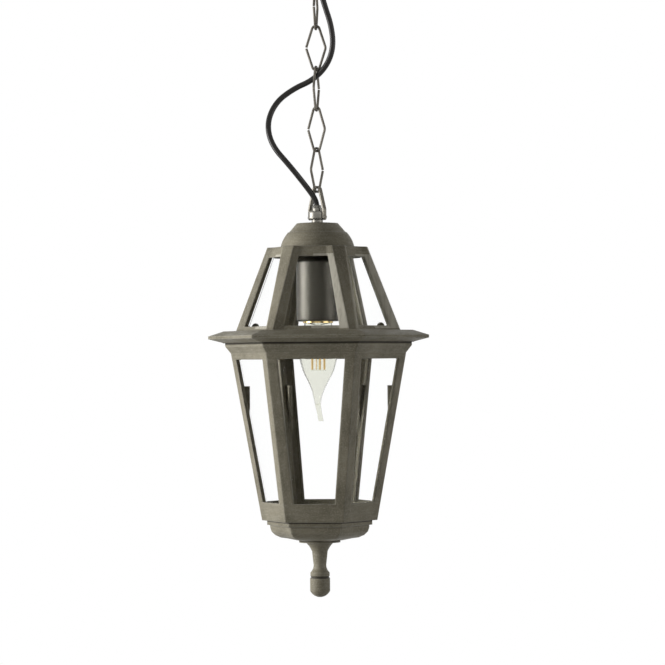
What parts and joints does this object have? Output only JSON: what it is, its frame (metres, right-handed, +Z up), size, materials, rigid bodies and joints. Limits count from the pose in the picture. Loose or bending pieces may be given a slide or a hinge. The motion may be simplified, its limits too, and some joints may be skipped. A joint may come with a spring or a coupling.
{
  "type": "pendant porch lantern",
  "caption": "Hexagonal glazed porch lantern with a flared roof and turned finial, hung by a bail and diamond-link chain from a ceiling canopy, with a bent-tip bulb.",
  "frame": {"origin": "middle of the canopy's rim, in the plane that lies on the ceiling", "axes": "+Z up, along the line the lantern hangs on; two corners of the hexagon lie on X and the picture's front face looks along -Y"},
  "size_m": [0.1954, 0.1692, 0.5818],
  "materials": {
    "casting": "weathered bronze paint over cast aluminium, matt",
    "chain_steel": "dull grey plated wire",
    "nickel_plate": "satin nickel plate",
    "zinc_steel": "zinc plate",
    "pane_glass": "clear, polished",
    "gland_plastic": "fine matt",
    "terminal_plastic": "moulded",
    "holder_plastic": "satin moulded",
    "insert_ceramic": "glazed",
    "brass": "bright",
    "solder": "dull",
    "bulb_glass": "clear, blown",
    "filament": "phosphor coat",
    "cord_sheath": "satin sheath"
  },
  "bodies": {
    "canopy": {"ceiling_canopy": "casting", "canopy_hook": "chain_steel", "hook_nut": "zinc_steel", "hook_washer": "zinc_steel", "cord_gland": "gland_plastic", "terminal_block": "terminal_plastic", "supply_cord": "cord_sheath"},
    "link_1": {"chain_link_1": "chain_steel"},
    "link_2": {"chain_link_2": "chain_steel"},
    "link_3": {"chain_link_3": "chain_steel"},
    "link_4": {"chain_link_4": "chain_steel"},
    "link_5": {"chain_link_5": "chain_steel"},
    "bail": {"bail": "nickel_plate"},
    "lantern": {"roof_frame": "casting", "lantern_cage": "casting", "base_bowl": "casting", "finial": "casting", "bail_pins": "nickel_plate", "collar": "nickel_plate", "cord_ferrule": "nickel_plate", "threaded_nipple": "zinc_steel", "dome_washer": "zinc_steel", "lock_nut": "zinc_steel", "roof_studs": "zinc_steel", "roof_dome_nuts": "zinc_steel", "finial_nut": "zinc_steel", "roof_pane_1": "pane_glass", "roof_pane_2": "pane_glass", "roof_pane_3": "pane_glass", "roof_pane_4": "pane_glass", "roof_pane_5": "pane_glass", "roof_pane_6": "pane_glass", "body_pane_1": "pane_glass", "body_pane_2": "pane_glass", "body_pane_3": "pane_glass", "body_pane_4": "pane_glass", "body_pane_5": "pane_glass", "body_pane_6": "pane_glass", "lampholder_cap": "holder_plastic", "lampholder_shell": "holder_plastic", "lampholder_insert": "insert_ceramic", "lampholder_contact": "brass", "bulb_cap": "brass", "bulb_contact": "solder", "bulb_glass": "bulb_glass", "bulb_stem": "bulb_glass", "bulb_filaments": "filament"}
  },
  "joints": [
    {"name": "hook_pivot", "type": "hinge", "parent": "canopy", "child": "link_1", "pos_m": [0, 0, -0.0436], "axis": [0.0872, 0.9962, 0], "range_deg": [-20, 20], "deforming": ["supply_cord"]},
    {"name": "link_1_2_pivot", "type": "hinge", "parent": "link_1", "child": "link_2", "pos_m": [0, 0, -0.0819], "axis": [0.0872, 0.9962, 0], "range_deg": [-20, 20], "deforming": ["supply_cord"]},
    {"name": "link_2_3_pivot", "type": "hinge", "parent": "link_2", "child": "link_3", "pos_m": [0, 0, -0.1177], "axis": [0.9986, 0.0523, 0], "range_deg": [-20, 20], "deforming": ["supply_cord"]},
    {"name": "link_3_4_pivot", "type": "hinge", "parent": "link_3", "child": "link_4", "pos_m": [0, 0, -0.1535], "axis": [0.1736, 0.9848, 0], "range_deg": [-20, 20], "deforming": ["supply_cord"]},
    {"name": "link_4_5_pivot", "type": "hinge", "parent": "link_4", "child": "link_5", "pos_m": [0, 0, -0.1893], "axis": [0.8988, -0.4384, 0], "range_deg": [-20, 20], "deforming": ["supply_cord"]},
    {"name": "bail_seat_pivot", "type": "hinge", "parent": "link_5", "child": "bail", "pos_m": [0, 0, -0.2251], "axis": [0.5299, 0.848, 0], "range_deg": [-20, 20], "deforming": ["supply_cord"]},
    {"name": "bail_pin_pivot", "type": "hinge", "parent": "bail", "child": "lantern", "pos_m": [0, 0, -0.24765], "axis": [0.7431, -0.6691, 0], "range_deg": [-40, 40], "deforming": ["supply_cord"]}
  ]
}
